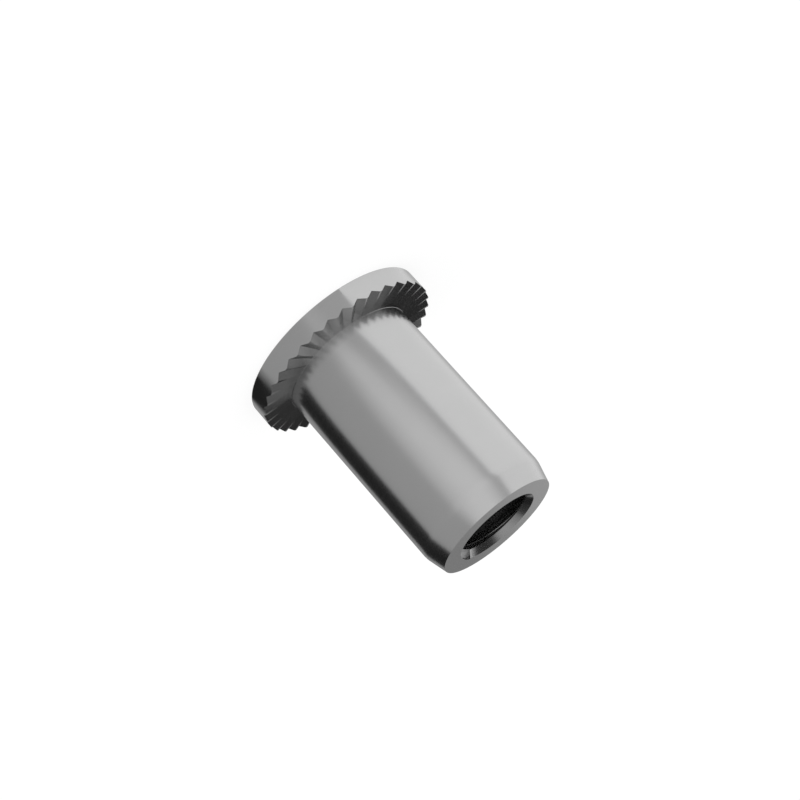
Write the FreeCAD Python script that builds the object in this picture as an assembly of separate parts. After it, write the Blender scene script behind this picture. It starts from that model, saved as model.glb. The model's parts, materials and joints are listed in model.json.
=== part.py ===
import FreeCAD, Part
import math
import os

# Blind rivet nut for an M6 screw: a flat round head, a plain shank open at both ends,
# and a ring of radial V teeth under the head that keeps the set nut from turning.
# Lengths in mm, angles in degrees. The nut stands on its head: the head's outer face
# is at Z = 0 with its centre at the origin, and +Z runs along the bore to the foot.

# Outside
overall_length = 16.0
shank_diameter = 9.0
head_diameter = 13.0
head_thickness = 1.5
foot_taper_length = 1.4
foot_taper_angle = 15.0

# Corner between the head's underside and the shank
root_fillet = 0.05
root_land = 0.02

# Teeth: V grooves cut radially into the head's underside
groove_count = 36
groove_depth = 0.28
groove_angle = 120.0

# Hole: a thin sleeve behind the head folds up when the nut is set, the foot is threaded.
# The thread is held as its core diameter.
thread_core_diameter = 5.0
thread_length = 7.2
sleeve_wall = 1.1
sleeve_cone_angle = 45.0
mouth_chamfer = 0.25
foot_chamfer = 0.38

# How far a cutting body runs out past the surface that it cuts
cut_overrun = 0.3

AXIS_POINT = FreeCAD.Vector(0, 0, 0)
AXIS = FreeCAD.Vector(0, 0, 1)


def tan_deg(angle):
    return math.tan(math.radians(angle))


def point(radius, height):
    """A point of the half section, which lies in the XZ plane."""
    return FreeCAD.Vector(radius, 0, height)


def straight_run(points):
    """Edges through the points, one after the other."""
    return [Part.LineSegment(a, b).toShape() for a, b in zip(points, points[1:])]


def turned_blank():
    """The nut as it leaves the lathe: the half section turned once round the axis."""
    head_radius = head_diameter / 2
    shank_radius = shank_diameter / 2
    sleeve_radius = shank_radius - sleeve_wall
    core_radius = thread_core_diameter / 2
    foot_radius = shank_radius - foot_taper_length * tan_deg(foot_taper_angle)
    thread_start = overall_length - thread_length
    cone_start = thread_start - (sleeve_radius - core_radius) / tan_deg(sleeve_cone_angle)

    fillet_start = point(shank_radius + root_fillet, head_thickness)
    fillet_end = point(shank_radius, head_thickness + root_fillet)
    fillet_reach = root_fillet * (1 - math.sin(math.radians(45)))
    fillet_middle = point(shank_radius + fillet_reach, head_thickness + fillet_reach)

    head_run = straight_run([
        point(sleeve_radius + mouth_chamfer, 0),
        point(head_radius, 0),
        point(head_radius, head_thickness),
        fillet_start,
    ])
    root_arc = Part.Arc(fillet_start, fillet_middle, fillet_end).toShape()
    foot_run = straight_run([
        fillet_end,
        point(shank_radius, overall_length - foot_taper_length),
        point(foot_radius, overall_length),
        point(core_radius + foot_chamfer, overall_length),
        point(core_radius, overall_length - foot_chamfer),
        point(core_radius, thread_start),
        point(sleeve_radius, cone_start),
        point(sleeve_radius, mouth_chamfer),
        point(sleeve_radius + mouth_chamfer, 0),
    ])
    section = Part.Face(Part.Wire(head_run + [root_arc] + foot_run))
    return section.revolve(AXIS_POINT, AXIS, 360)


def groove_cutter():
    """One V bar along +X, from just outside the root to past the head's rim."""
    inner_radius = shank_diameter / 2 + root_fillet + root_land
    bar_length = head_diameter / 2 + cut_overrun - inner_radius
    valley_height = head_thickness - groove_depth
    top_height = head_thickness + cut_overrun
    half_width = (top_height - valley_height) * tan_deg(groove_angle / 2)
    v_section = Part.makePolygon([
        FreeCAD.Vector(inner_radius, 0, valley_height),
        FreeCAD.Vector(inner_radius, half_width, top_height),
        FreeCAD.Vector(inner_radius, -half_width, top_height),
        FreeCAD.Vector(inner_radius, 0, valley_height),
    ])
    return Part.Face(v_section).extrude(FreeCAD.Vector(bar_length, 0, 0))


def ring_of_cutters():
    """The V bar repeated evenly round the axis."""
    cutters = []
    for index in range(groove_count):
        cutter = groove_cutter()
        cutter.rotate(AXIS_POINT, AXIS, index * 360 / groove_count)
        cutters.append(cutter)
    return cutters


rivet_nut = turned_blank().cut(ring_of_cutters()).removeSplitter()

os.makedirs("parts", exist_ok=True)
rivet_nut.exportStep("parts/rivet_nut.step")
print("rivet_nut volume mm3", round(rivet_nut.Volume, 3), "solids", len(rivet_nut.Solids))
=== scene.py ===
import json
import math

import bmesh
import bpy
from mathutils import Matrix, Vector


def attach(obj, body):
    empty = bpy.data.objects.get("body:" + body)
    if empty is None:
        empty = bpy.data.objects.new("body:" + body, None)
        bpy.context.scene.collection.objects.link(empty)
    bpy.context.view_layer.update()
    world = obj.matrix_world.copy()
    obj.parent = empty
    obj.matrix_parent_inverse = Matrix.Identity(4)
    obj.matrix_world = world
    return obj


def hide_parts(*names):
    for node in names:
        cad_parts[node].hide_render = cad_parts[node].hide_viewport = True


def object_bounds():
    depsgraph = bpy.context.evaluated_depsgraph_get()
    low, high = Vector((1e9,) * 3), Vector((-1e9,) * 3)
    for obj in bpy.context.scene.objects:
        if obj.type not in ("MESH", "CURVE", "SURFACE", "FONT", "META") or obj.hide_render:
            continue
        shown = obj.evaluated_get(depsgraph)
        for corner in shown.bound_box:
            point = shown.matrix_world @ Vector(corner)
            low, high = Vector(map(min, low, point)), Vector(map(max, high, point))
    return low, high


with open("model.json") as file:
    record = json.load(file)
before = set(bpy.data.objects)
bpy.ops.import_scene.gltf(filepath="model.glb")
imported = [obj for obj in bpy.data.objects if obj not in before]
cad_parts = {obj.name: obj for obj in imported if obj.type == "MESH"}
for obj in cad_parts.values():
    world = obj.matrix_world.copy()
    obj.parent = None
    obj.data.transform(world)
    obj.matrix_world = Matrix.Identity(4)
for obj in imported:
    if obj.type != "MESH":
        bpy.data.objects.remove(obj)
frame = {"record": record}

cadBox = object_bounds()
mm = 0.001          # shapes are made in millimetres and brought to metres at the end
merging = {"blank": 1e-3, "thread": 2e-4, "plane": 1e-4, "cut": 1e-5}   # mm within which points are one
upAxis = Vector((0, 0, 1))
origin = Vector((0, 0, 0))
mounts = {mount["name"]: mount["dims"] for mount in frame["record"]["mounts"]}

# The nut stands on its head: the head's outer face is on the floor and +Z points to the foot.
nut = {
    "length": cadBox[1].z / mm,
    "headRadius": cadBox[1].x / mm,
    "headThickness": 1.5,
    "shankRadius": mounts["shank"]["r_mm"],
    "footTaper": 1.4,              # along the axis
    "footTaperAngle": 15,
    "footBlend": 2.0,              # radius of the bend between the shank and the taper
    "footBlendSteps": 8,
    "rootFillet": 0.025,           # corner between the shank and the head's underside
    "rootFilletSteps": 6,
    "sleeveRadius": mounts["sleeve_bore"]["r_mm"],
    "sleeveLength": 7.9,           # from the head's face to the start of the inner cone
    "mouthChamfer": 0.25,
    "coreRadius": mounts["thread"]["r_mm"],
    "footChamfer": 0.38,
    "sharpAngle": 13,              # edges that turn by more than this stay crisp
}

# Radial V grooves in the head's underside, straight and all of one depth.
teeth = {
    "count": 36,
    "depth": 0.28,
    "vAngle": 120,
    "stepsPerHalf": 4,             # the whole nut is divided round by this
}

# Inner thread, cut by a tap that starts just under the foot's face and runs down into the sleeve.
thread = {
    "pitch": 1.0,
    "majorRadius": 3.0,
    "rootFlat": 0.125,
    "flankAngle": 60,
    "crestBevel": 0.02,            # height of the small bevel along the upper edge of each groove
    "crestBevelAngle": 120,
    "innerReach": 0.03,            # how far the tap's section starts inside the core
    "startAngle": 24.7,
    "startDepth": 0.075,           # middle of the first section, below the foot's face
    "turns": 8.0,
    "stepsPerTurn": 72,
}


def everything(bm):
    return bm.verts[:] + bm.edges[:] + bm.faces[:]


def openEdges(bm):
    return sum(not edge.is_manifold for edge in bm.edges)


def footBend():
    # from the shank into the taper; the short straight run before the arc keeps the shank's shading even
    turn = math.radians(nut["footTaperAngle"])
    radius = nut["footBlend"]
    steps = nut["footBlendSteps"]
    start = nut["length"] - nut["footTaper"] - radius * math.tan(turn / 2)
    shank = nut["shankRadius"]
    points = [(shank, start - radius * turn / steps)]
    for step in range(steps + 1):
        angle = turn * step / steps
        points.append((shank - radius * (1 - math.cos(angle)), start + radius * math.sin(angle)))
    return points


def profileOfBody():
    # outline from the tooth ring over the shank, round the foot and back through the hole
    head = nut["headThickness"]
    shank = nut["shankRadius"]
    fillet = nut["rootFillet"]
    core = nut["coreRadius"]
    length = nut["length"]
    footRadius = shank - nut["footTaper"] * math.tan(math.radians(nut["footTaperAngle"]))
    points = []
    for step in range(nut["rootFilletSteps"] + 1):
        turn = math.radians(90 * step / nut["rootFilletSteps"])
        points.append((shank + fillet * (1 - math.sin(turn)), head + fillet * (1 - math.cos(turn))))
    points += footBend()
    points += [
        (footRadius, length),
        (core + nut["footChamfer"], length),
        (core, length - nut["footChamfer"]),
        (core, nut["sleeveLength"] + nut["sleeveRadius"] - core),
        (nut["sleeveRadius"], nut["sleeveLength"]),
        (nut["sleeveRadius"], nut["mouthChamfer"]),
        (nut["sleeveRadius"] + nut["mouthChamfer"], 0),
        (shank + fillet, 0),
    ]
    return points


def addBody(bm):
    # the open outline spun once round; the tooth ring closes it
    verts = [bm.verts.new((radius, 0, height)) for radius, height in profileOfBody()]
    edges = [bm.edges.new(pair) for pair in zip(verts, verts[1:])]
    steps = 2 * teeth["count"] * teeth["stepsPerHalf"]
    bmesh.ops.spin(bm, geom=verts + edges, cent=origin, axis=upAxis, angle=2 * math.pi,
                   steps=steps, use_merge=True, use_duplicate=False)


def halfTooth():
    # a thin wedge of the head, cut off along one flank of a V groove that lies on +X
    inner = nut["shankRadius"] + nut["rootFillet"]
    outer = nut["headRadius"]
    head = nut["headThickness"]
    halfPitch = math.pi / teeth["count"]
    flankTilt = math.radians(90 - teeth["vAngle"] / 2)
    wedge = bmesh.new()
    section = [(inner, 0, 0), (outer, 0, 0), (outer, 0, head), (inner, 0, head)]
    wedge.faces.new([wedge.verts.new(corner) for corner in section])
    bmesh.ops.spin(wedge, geom=everything(wedge), cent=origin, axis=upAxis,
                   angle=halfPitch, steps=teeth["stepsPerHalf"], use_merge=False, use_duplicate=False)
    cut = bmesh.ops.bisect_plane(wedge, geom=everything(wedge), dist=merging["cut"],
                                 plane_co=(0, 0, head - teeth["depth"]),
                                 plane_no=(0, -math.sin(flankTilt), math.cos(flankTilt)), clear_outer=True)
    rim = [item for item in cut["geom_cut"] if isinstance(item, bmesh.types.BMEdge)]
    bmesh.ops.contextual_create(wedge, geom=rim)

    # the two side walls and the inner wall only join it to its neighbours
    sideNormal = Vector((-math.sin(halfPitch), math.cos(halfPitch), 0))
    inside = [face for face in wedge.faces if
              all(abs(v.co.y) < merging["plane"] for v in face.verts)
              or all(abs(v.co.dot(sideNormal)) < merging["plane"] for v in face.verts)
              or all(abs(v.co.xy.length - inner) < merging["blank"] for v in face.verts)]
    bmesh.ops.delete(wedge, geom=inside, context="FACES")
    return wedge


def addToothRing(bm):
    wedge = halfTooth()
    bmesh.ops.mirror(wedge, geom=everything(wedge),
                     matrix=Matrix.Identity(4), merge_dist=merging["plane"], axis="Y")
    repeats = teeth["count"] - 1
    bmesh.ops.spin(wedge, geom=everything(wedge), cent=origin, axis=upAxis,
                   angle=2 * math.pi * repeats / teeth["count"], steps=repeats,
                   use_merge=False, use_duplicate=True)
    ring = bpy.data.meshes.new("toothRing")
    wedge.to_mesh(ring)
    wedge.free()
    bm.from_mesh(ring)
    bpy.data.meshes.remove(ring)


def nutBlank():
    bm = bmesh.new()
    addBody(bm)
    addToothRing(bm)
    bmesh.ops.remove_doubles(bm, verts=bm.verts, dist=merging["blank"])
    # the short wall at the inner ends of the grooves
    bmesh.ops.bridge_loops(bm, edges=[edge for edge in bm.edges if edge.is_boundary])
    bmesh.ops.recalc_face_normals(bm, faces=bm.faces)
    print("nut blank:", len(bm.faces), "faces, open edges", openEdges(bm))
    return bm


def threadTap():
    # one V section carried along the helix
    tap = bmesh.new()
    inner = nut["coreRadius"] - thread["innerReach"]
    outer = thread["majorRadius"]
    bevelStart = nut["coreRadius"] + thread["crestBevel"]
    halfRoot = thread["rootFlat"] / 2
    flankSlope = math.tan(math.radians(thread["flankAngle"] / 2))
    bevelSlope = math.tan(math.radians(thread["crestBevelAngle"] / 2))
    bevelHeight = halfRoot + (outer - bevelStart) * flankSlope
    top = nut["length"] - thread["startDepth"]
    section = [(inner, -halfRoot - (outer - inner) * flankSlope), (outer, -halfRoot), (outer, halfRoot),
               (bevelStart, bevelHeight), (inner, bevelHeight + (bevelStart - inner) * bevelSlope)]
    tap.faces.new([tap.verts.new((radius, 0, height)) for radius, height in section])
    steps = round(thread["turns"] * thread["stepsPerTurn"])
    bmesh.ops.spin(tap, geom=everything(tap), cent=origin, axis=upAxis,
                   dvec=(0, 0, -thread["pitch"] / thread["stepsPerTurn"]),
                   angle=-2 * math.pi * steps / thread["stepsPerTurn"], steps=steps,
                   use_merge=False, use_duplicate=False)
    bmesh.ops.rotate(tap, verts=tap.verts, cent=origin,
                     matrix=Matrix.Rotation(math.radians(thread["startAngle"]), 3, "Z"))
    bmesh.ops.translate(tap, verts=tap.verts, vec=(0, 0, top))
    bmesh.ops.recalc_face_normals(tap, faces=tap.faces)
    return tap


def meshObject(name, bm):
    mesh = bpy.data.meshes.new(name)
    bm.to_mesh(mesh)
    bm.free()
    obj = bpy.data.objects.new(name, mesh)
    bpy.context.scene.collection.objects.link(obj)
    return obj


def turnedNut():
    blank = meshObject("nutBlank", nutBlank())
    tap = meshObject("threadTap", threadTap())
    cutThread = blank.modifiers.new("cutThread", "BOOLEAN")
    cutThread.operation = "DIFFERENCE"
    cutThread.solver = "EXACT"
    cutThread.object = tap
    bpy.context.view_layer.update()
    evaluated = blank.evaluated_get(bpy.context.evaluated_depsgraph_get())
    threaded = bpy.data.meshes.new_from_object(evaluated)
    bpy.data.objects.remove(blank)
    bpy.data.objects.remove(tap)

    bm = bmesh.new()
    bm.from_mesh(threaded)
    bpy.data.meshes.remove(threaded)
    bmesh.ops.remove_doubles(bm, verts=bm.verts, dist=merging["thread"])
    bmesh.ops.dissolve_degenerate(bm, edges=bm.edges, dist=merging["thread"])
    bmesh.ops.recalc_face_normals(bm, faces=bm.faces)
    print("threaded nut:", len(bm.faces), "faces, open edges", openEdges(bm))
    bmesh.ops.scale(bm, verts=bm.verts, vec=(mm, mm, mm))
    piece = meshObject("turned_nut", bm)
    piece.data.polygons.foreach_set("use_smooth", [True] * len(piece.data.polygons))
    piece.data.set_sharp_from_angle(angle=math.radians(nut["sharpAngle"]))
    return piece


# Wraps one socket, so that shader maths reads as plain expressions.
class Value:
    def __init__(self, shader, socket):
        self.shader = shader
        self.socket = socket

    def maths(self, operation, first, second):
        return self.shader.node("ShaderNodeMath", {"operation": operation}, {0: first, 1: second})

    def __add__(self, other):
        return self.maths("ADD", self, other)

    def __radd__(self, other):
        return self.maths("ADD", other, self)

    def __sub__(self, other):
        return self.maths("SUBTRACT", self, other)

    def __rsub__(self, other):
        return self.maths("SUBTRACT", other, self)

    def __mul__(self, other):
        return self.maths("MULTIPLY", self, other)

    def __rmul__(self, other):
        return self.maths("MULTIPLY", other, self)

    def __pow__(self, other):
        return self.maths("POWER", self, other)


class Shader:
    def __init__(self, tree):
        tree.nodes.clear()
        self.tree = tree

    # any node: its type, its settings, then the values or links of its sockets
    def node(self, kind, settings=None, inputs=None, output=0):
        made = self.tree.nodes.new(kind)
        for name, setting in (settings or {}).items():
            if name == "ramp":
                self.setRamp(made.color_ramp, setting)
            else:
                setattr(made, name, setting)
        for name, given in (inputs or {}).items():
            if isinstance(given, Value):
                self.tree.links.new(given.socket, made.inputs[name])
            else:
                made.inputs[name].default_value = given
        return Value(self, made.outputs[output]) if made.outputs else made

    # 1 where the first is above the second, else 0
    def step(self, first, second):
        return self.node("ShaderNodeMath", {"operation": "GREATER_THAN"}, {0: first, 1: second})

    def setRamp(self, ramp, stops):
        while len(ramp.elements) < len(stops):
            ramp.elements.new(1)
        for element, (position, grey) in zip(ramp.elements, stops):
            element.position = position
            element.color = (grey, grey, grey, 1)


def newMaterial(name):
    material = bpy.data.materials.new(name)
    material.use_nodes = True
    return material, Shader(material.node_tree)


steel = {
    "grey": 0.51,
    "cloudyGrey": 0.03,            # how much lighter the soft patches are
    "ringGrey": 0.01,              # and the turning marks
    "toothGrey": 0.42,             # painted shade between the teeth
    "toothFade": 0.8,              # mm up the shank in which the painted shade thins out
    # painted shade in the hole below its chamfer
    "holeGrey": 0.42,
    "roughness": 0.18,
    "cloudyRoughness": 0.04,
    "ringRoughness": 0.02,
    "ringScale": 9.0,              # turning marks per mm
    "ringStretch": 0.15,           # how slowly a mark changes round the nut
    "ringHeight": 0.00025,         # mm
    "cloudScale": 0.45,            # soft patches per mm
    "grainScale": 14.0,
    "grainShare": 0.5,             # height of the grain against that of the marks
    "maskMargin": 0.001,           # mm past an edge where a painted shade ends
}


def brushedSteel():
    material, shader = newMaterial("satinSteel")
    place = shader.node("ShaderNodeTexCoord", output="Object")
    place = shader.node("ShaderNodeVectorMath", {"operation": "SCALE"}, {"Vector": place, "Scale": 1 / mm})
    axes = shader.node("ShaderNodeSeparateXYZ", inputs={"Vector": place})
    x, y, z = [Value(shader, socket) for socket in axes.socket.node.outputs]
    radius = (x * x + y * y) ** 0.5

    stretch = steel["ringStretch"]
    around = shader.node("ShaderNodeCombineXYZ", inputs={
        "X": radius * steel["ringScale"], "Y": z * steel["ringScale"], "Z": x * stretch})
    rings = shader.node("ShaderNodeTexNoise", {"noise_dimensions": "4D"}, {
        "Vector": around, "W": y * stretch, "Scale": 1.0, "Detail": 3.0, "Roughness": 0.6})
    clouds = shader.node("ShaderNodeTexNoise", inputs={
        "Vector": place, "Scale": steel["cloudScale"], "Detail": 3.0, "Roughness": 0.55})
    grain = shader.node("ShaderNodeTexNoise", inputs={
        "Vector": place, "Scale": steel["grainScale"], "Detail": 2.0, "Roughness": 0.6})
    marks = rings + steel["grainShare"] * grain
    bump = shader.node("ShaderNodeBump", inputs={
        "Strength": 1.0, "Distance": steel["ringHeight"] * mm, "Height": marks})

    # painted shade, darker parts where shade falls: the teeth with the shank's root, and the hole below
    # its chamfer
    head = nut["headThickness"]
    margin = steel["maskMargin"]
    holeRadius = nut["sleeveRadius"] + nut["mouthChamfer"] + margin
    chamferEnd = nut["length"] - nut["footChamfer"] + margin
    meanGrey = steel["grey"] + (steel["cloudyGrey"] + steel["ringGrey"]) / 2
    toothShadeLoss = 1 - steel["toothGrey"] / meanGrey
    holeShadeLoss = 1 - steel["holeGrey"] / meanGrey
    shadeAboveTeeth = shader.node("ShaderNodeMapRange", inputs={
        "Value": z, "From Min": head, "From Max": head + steel["toothFade"],
        "To Min": toothShadeLoss, "To Max": 0.0})
    # painted shade on the teeth, thinning out up the shank's root
    toothShade = (shadeAboveTeeth * shader.step(z, head / 2) * shader.step(radius, holeRadius)
               * shader.step(nut["headRadius"] - margin, radius))
    # painted shade in the hole below its chamfer
    holeShade = shader.step(holeRadius, radius) * shader.step(chamferEnd, z) * holeShadeLoss

    grey = steel["grey"] + steel["cloudyGrey"] * clouds + steel["ringGrey"] * rings
    # the painted shade darkens the steel's own grey
    grey = grey * (1 - toothShade - holeShade)
    colour = shader.node("ShaderNodeCombineXYZ", inputs={"X": grey, "Y": grey, "Z": grey})
    roughness = steel["roughness"] + steel["cloudyRoughness"] * clouds + steel["ringRoughness"] * rings
    surface = shader.node("ShaderNodeBsdfPrincipled", inputs={
        "Base Color": colour, "Metallic": 1.0, "Roughness": roughness, "Normal": bump})
    shader.node("ShaderNodeOutputMaterial", inputs={"Surface": surface})
    return material


# Camera of the photograph: it looks at a point near the axis and is rolled well over.
cameraPlace = {
    "aim": (-0.694, 0.052, 5.809),
    "distance": 113.45,
    "azimuth": -4.323,
    "elevation": 19.118,
    "roll": 138.324,
    "lens": 81.99,
    "sensor": 36.0,
    "clipStart": 0.005,            # metres
    "clipEnd": 20.0,
}


def photoCamera():
    data = bpy.data.cameras.new("photoCamera")
    data.lens = cameraPlace["lens"]
    data.sensor_width = cameraPlace["sensor"]
    data.clip_start = cameraPlace["clipStart"]
    data.clip_end = cameraPlace["clipEnd"]
    camera = bpy.data.objects.new("photoCamera", data)
    bpy.context.scene.collection.objects.link(camera)
    turn = (Matrix.Rotation(math.radians(cameraPlace["azimuth"]), 4, "Z")
            @ Matrix.Rotation(math.radians(90 - cameraPlace["elevation"]), 4, "X")
            @ Matrix.Rotation(math.radians(cameraPlace["roll"]), 4, "Z"))
    back = turn @ Vector((0, 0, cameraPlace["distance"]))
    camera.matrix_world = Matrix.Translation((Vector(cameraPlace["aim"]) + back) * mm) @ turn
    bpy.context.scene.camera = camera


room = {
    "floorRadius": 8.0,            # metres
    "floorSides": 64,
    "floorGrey": 0.25,
    "floorLift": 0.79,             # glow that the eye and the metal see, the rest of its white is light
    "skyLevel": 0.9,
}


def seenDirectly(shader):
    # 1 on rays from the camera and on those that metal or glass mirrors
    rays = shader.node("ShaderNodeLightPath", output="Is Camera Ray")
    outputs = rays.socket.node.outputs
    seen = rays + Value(shader, outputs["Is Glossy Ray"]) + Value(shader, outputs["Is Transmission Ray"])
    return shader.node("ShaderNodeMath", {"operation": "MINIMUM"}, {0: seen, 1: 1.0})


def makeFloor():
    bm = bmesh.new()
    bmesh.ops.create_circle(bm, cap_ends=True, segments=room["floorSides"], radius=room["floorRadius"])
    floor = meshObject("floor", bm)
    material, shader = newMaterial("paleFloor")
    grey = room["floorGrey"]
    diffuse = shader.node("ShaderNodeBsdfDiffuse", inputs={"Color": (grey, grey, grey, 1)})
    lift = shader.node("ShaderNodeEmission", inputs={
        "Color": (1, 1, 1, 1), "Strength": room["floorLift"] * seenDirectly(shader)})
    both = shader.node("ShaderNodeAddShader", inputs={0: diffuse, 1: lift})
    shader.node("ShaderNodeOutputMaterial", inputs={"Surface": both})
    floor.data.materials.append(material)


def makeSky():
    world = bpy.data.worlds.new("whiteRoom")
    bpy.context.scene.world = world
    world.use_nodes = True
    world.cycles.sampling_method = "NONE"      # no light of it comes to the metal through the cards
    shader = Shader(world.node_tree)
    level = room["skyLevel"] + (1 - room["skyLevel"]) * seenDirectly(shader)
    light = shader.node("ShaderNodeBackground", inputs={"Color": (1, 1, 1, 1), "Strength": level})
    shader.node("ShaderNodeOutputWorld", inputs={"Surface": light})


# A ring of grey studio card that only the metal sees. It lies on the floor round the nut and stands up as
# a wall at its far end. Each stop is one line across it. First come the places where the line shows in the
# metal, in degrees round the nut from the camera's side: beside the rim, beside the shank, at the wall's
# foot, in its lower part and at its top. The greys follow: rim, shank, foot, middle of the wall, top.
cardRing = {
    "rimReach": 3.5,               # mm from the rim
    "nearReach": 12.0,             # mm from the shank, as the rest
    "farReach": 50.0,
    "wallReach": 78.0,
    "wallHeight": 68.0,
    "wallLow": 36.0,               # height up to which the wall keeps the greys of its foot
    "wallBend": 48.0,              # height of its middle greys
    "lift": 0.02,
    "widestStep": 3.0,
    "stops": [
        ((-21.5, -21.0, -24.4, -28.2, -27.5), (0.56, 0.55, 0.56, 0.60, 0.60)),
        ((-14.0, -16.5, -21.0, -23.2, -22.5), (0.56, 0.53, 0.58, 0.50, 0.58)),
        ((-8.0, -11.0, -16.0, -17.2, -16.0), (0.55, 0.54, 0.87, 0.38, 0.55)),
        ((-5.5, -8.0, -13.0, -13.0, -13.0), (0.57, 0.63, 0.90, 0.62, 0.53)),
        ((-3.0, -5.0, -10.0, -10.0, -10.0), (0.59, 0.73, 0.92, 1.00, 0.60)),
        ((1.0, 1.0, 0.0, 0.0, 0.0), (0.61, 0.76, 0.89, 1.00, 0.60)),
        ((5.2, 5.5, 10.0, 10.0, 10.0), (0.52, 0.60, 0.77, 1.00, 0.55)),
        ((6.6, 7.2, 13.0, 13.0, 13.0), (0.50, 0.55, 0.70, 0.34, 0.42)),
        ((12.0, 11.5, 18.0, 18.0, 18.0), (0.48, 0.47, 0.50, 0.16, 0.42)),
        ((16.0, 15.5, 22.0, 22.0, 22.0), (0.48, 0.47, 0.49, 0.34, 0.44)),
        ((40.5, 44.3, 48.0, 48.0, 48.0), (0.46, 0.46, 0.47, 0.44, 0.40)),
        ((49.0, 44.7, 48.5, 48.5, 48.5), (0.02, 0.02, 0.02, 0.02, 0.02)),
        ((68.0, 67.0, 71.5, 81.2, 87.0), (0.02, 0.02, 0.02, 0.02, 0.02)),
        ((74.0, 68.0, 72.5, 82.2, 88.0), (0.40, 0.40, 0.37, 0.37, 0.30)),
        ((90.0, 90.0, 90.0, 90.0, 90.0), (0.46, 0.36, 0.28, 0.28, 0.28)),
        ((-90.0, -90.0, -90.0, -90.0, -90.0), (0.50, 0.46, 0.46, 0.46, 0.46)),
        ((-79.0, -79.0, -79.0, -79.0, -79.0), (0.55, 0.55, 0.50, 0.50, 0.38)),
        ((-73.0, -73.0, -73.0, -72.5, -72.0), (0.85, 0.80, 0.80, 0.80, 0.36)),
        ((-69.0, -69.0, -69.0, -70.0, -71.0), (1.00, 1.00, 1.00, 1.00, 0.36)),
    ],
}

# Three panels overhead, parts of one dome split by upright planes: over the front, over the nut and over
# the back. A panel has its two ends, in mm along the way that the dome is turned, and then its stops from
# the dome's foot to its top, each with its place and grey.
ceiling = {
    "turn": 20.0,                  # degrees from the camera's side
    "sides": 64,
    "rows": 48,
    "panels": {
        "ceilingFront": ((8.0, 110.0),
                         ((0.0, 0.46), (0.36, 0.42), (0.63, 0.37), (0.80, 0.38), (0.92, 0.50))),
        "ceilingMiddle": ((-58.0, 8.0), ((0.0, 0.04), (1.0, 0.04))),
        "ceilingBack": ((-110.0, -58.0), ((0.0, 0.36), (1.0, 0.36))),
    },
}


def onlyInMetal(obj):
    obj.visible_camera = False
    obj.visible_diffuse = False
    obj.visible_shadow = False
    obj.visible_transmission = False
    obj.visible_volume_scatter = False


def fromCameraSide(angle):
    direction = math.radians(angle - 90 + cameraPlace["azimuth"])
    return Vector((math.cos(direction), math.sin(direction), 0))


def cardMaterial(name, makeShade):
    material, shader = newMaterial(name)
    light = shader.node("ShaderNodeEmission", inputs={"Color": makeShade(shader), "Strength": 1.0})
    shader.node("ShaderNodeOutputMaterial", inputs={"Surface": light})
    return material


def stopsBetween():
    # the stops and as many lines between them as keep the ring round
    lines = []
    for left, right in zip(cardRing["stops"], cardRing["stops"][1:]):
        turn = right[0][0] - left[0][0]
        parts = max(1, math.ceil(turn / cardRing["widestStep"]))
        for part in range(parts):
            share = part / parts
            lines.append([[a + (b - a) * share for a, b in zip(*pair)] for pair in zip(left, right)])
    lines.append(cardRing["stops"][-1])
    return lines


def mirroredPlace(radius, facing, reach, height):
    # where a ray ends that meets the wall of that radius and is thrown back from it
    return radius * fromCameraSide(facing) + reach * fromCameraSide(2 * facing) + height * upAxis


def makeCardRing():
    bm = bmesh.new()
    shadeLayer = bm.verts.layers.float.new("shade")
    rim = nut["headRadius"]
    shank = nut["shankRadius"]
    lift = cardRing["lift"]
    wall = cardRing["wallReach"]
    rows = []
    for (rimTurn, nearTurn, farTurn, lowTurn, topTurn), greys in stopsBetween():
        rimGrey, nearGrey, farGrey, bendGrey, topGrey = greys
        places = [
            (mirroredPlace(rim, rimTurn, 0, lift), rimGrey),
            (mirroredPlace(rim, rimTurn, cardRing["rimReach"], lift), rimGrey),
            (mirroredPlace(shank, nearTurn, cardRing["nearReach"], lift), nearGrey),
            (mirroredPlace(shank, farTurn, cardRing["farReach"], lift), farGrey),
            (mirroredPlace(shank, farTurn, wall, lift), farGrey),
            (mirroredPlace(shank, lowTurn, wall, cardRing["wallLow"]), farGrey),
            (mirroredPlace(shank, (lowTurn + topTurn) / 2, wall, cardRing["wallBend"]), bendGrey),
            (mirroredPlace(shank, topTurn, wall, cardRing["wallHeight"]), topGrey),
        ]
        row = []
        for place, grey in places:
            vert = bm.verts.new(place)
            vert[shadeLayer] = grey
            row.append(vert)
        rows.append(row)
    for left, right in zip(rows, rows[1:]):
        for k in range(len(left) - 1):
            bm.faces.new((left[k], left[k + 1], right[k + 1], right[k]))
    bmesh.ops.scale(bm, verts=bm.verts, vec=(mm, mm, mm))
    ring = meshObject("cardRing", bm)

    def shade(shader):
        return shader.node("ShaderNodeAttribute", {"attribute_name": "shade"}, output="Fac")

    ring.data.materials.append(cardMaterial("greyCard", shade))
    onlyInMetal(ring)


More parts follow.
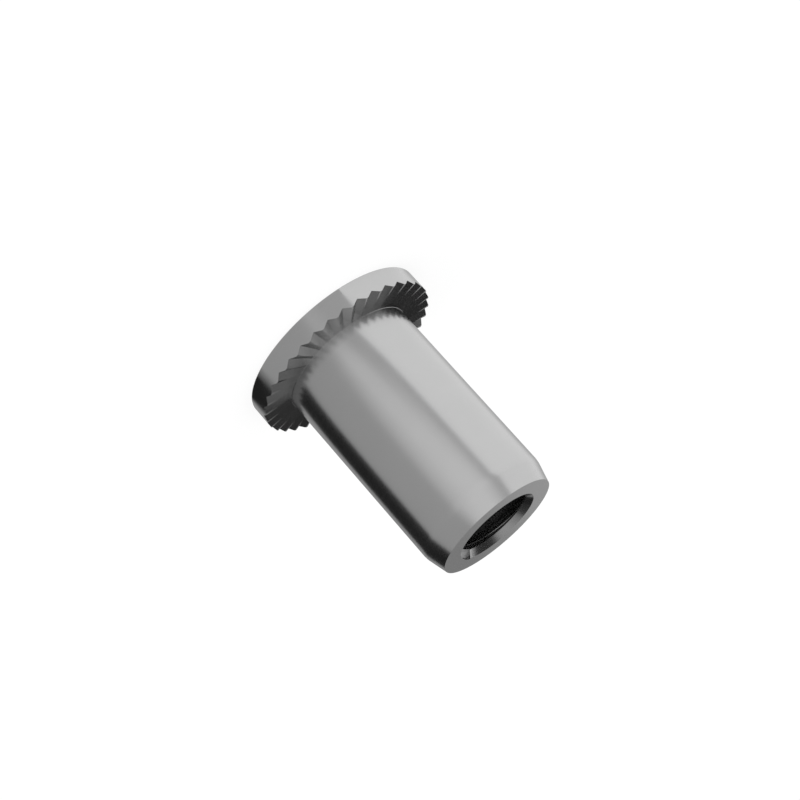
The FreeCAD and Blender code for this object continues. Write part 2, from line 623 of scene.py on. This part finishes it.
def makeCeiling(name, ends, greys):
    foot = cardRing["wallHeight"]
    radius = math.hypot(cardRing["wallReach"] + nut["shankRadius"], foot)
    bm = bmesh.new()
    bmesh.ops.create_uvsphere(bm, u_segments=ceiling["sides"], v_segments=ceiling["rows"], radius=radius)
    bmesh.ops.bisect_plane(bm, geom=everything(bm), dist=merging["cut"],
                           plane_co=(0, 0, foot), plane_no=upAxis, clear_inner=True)
    forward = fromCameraSide(ceiling["turn"])
    for end, outward in zip(ends, (-forward, forward)):
        bmesh.ops.bisect_plane(bm, geom=everything(bm), dist=merging["cut"],
                               plane_co=forward * end, plane_no=outward, clear_outer=True)
    bmesh.ops.scale(bm, verts=bm.verts, vec=(mm, mm, mm))
    panel = meshObject(name, bm)

    def shade(shader):
        place = shader.node("ShaderNodeTexCoord", output="Object")
        height = shader.node("ShaderNodeSeparateXYZ", inputs={"Vector": place}, output="Z")
        rise = shader.node("ShaderNodeMapRange", inputs={
            "Value": height, "From Min": foot * mm, "From Max": radius * mm})
        return shader.node("ShaderNodeValToRGB", {"ramp": greys}, {"Fac": rise})

    panel.data.materials.append(cardMaterial(name, shade))
    onlyInMetal(panel)


softbox = {
    "from": (0.35, -0.35, 0.5),    # the way to it from the nut
    "distance": 0.7,               # metres, as its size
    "size": 0.6,
    "level": 0.15,                 # light on a white card at the nut that faces it
}


def makeLamp():
    data = bpy.data.lights.new("softbox", "AREA")
    data.shape = "DISK"
    data.size = softbox["size"]
    distance = softbox["distance"]
    data.energy = softbox["level"] * math.pi ** 2 * distance ** 2
    lamp = bpy.data.objects.new("softbox", data)
    bpy.context.scene.collection.objects.link(lamp)
    place = Vector(softbox["from"]).normalized() * distance
    lamp.location = place
    lamp.rotation_euler = place.to_track_quat("Z", "Y").to_euler()
    lamp.visible_glossy = False


photoCamera()
print("camera placed")
piece = turnedNut()
piece.data.materials.append(brushedSteel())
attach(piece, "root")
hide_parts("rivet_nut")
print("nut finished")

makeFloor()
makeSky()
makeCardRing()
for name, (ends, greys) in ceiling["panels"].items():
    makeCeiling(name, ends, greys)
makeLamp()
print("studio lit")

bpy.context.scene.view_settings.view_transform = "Standard"
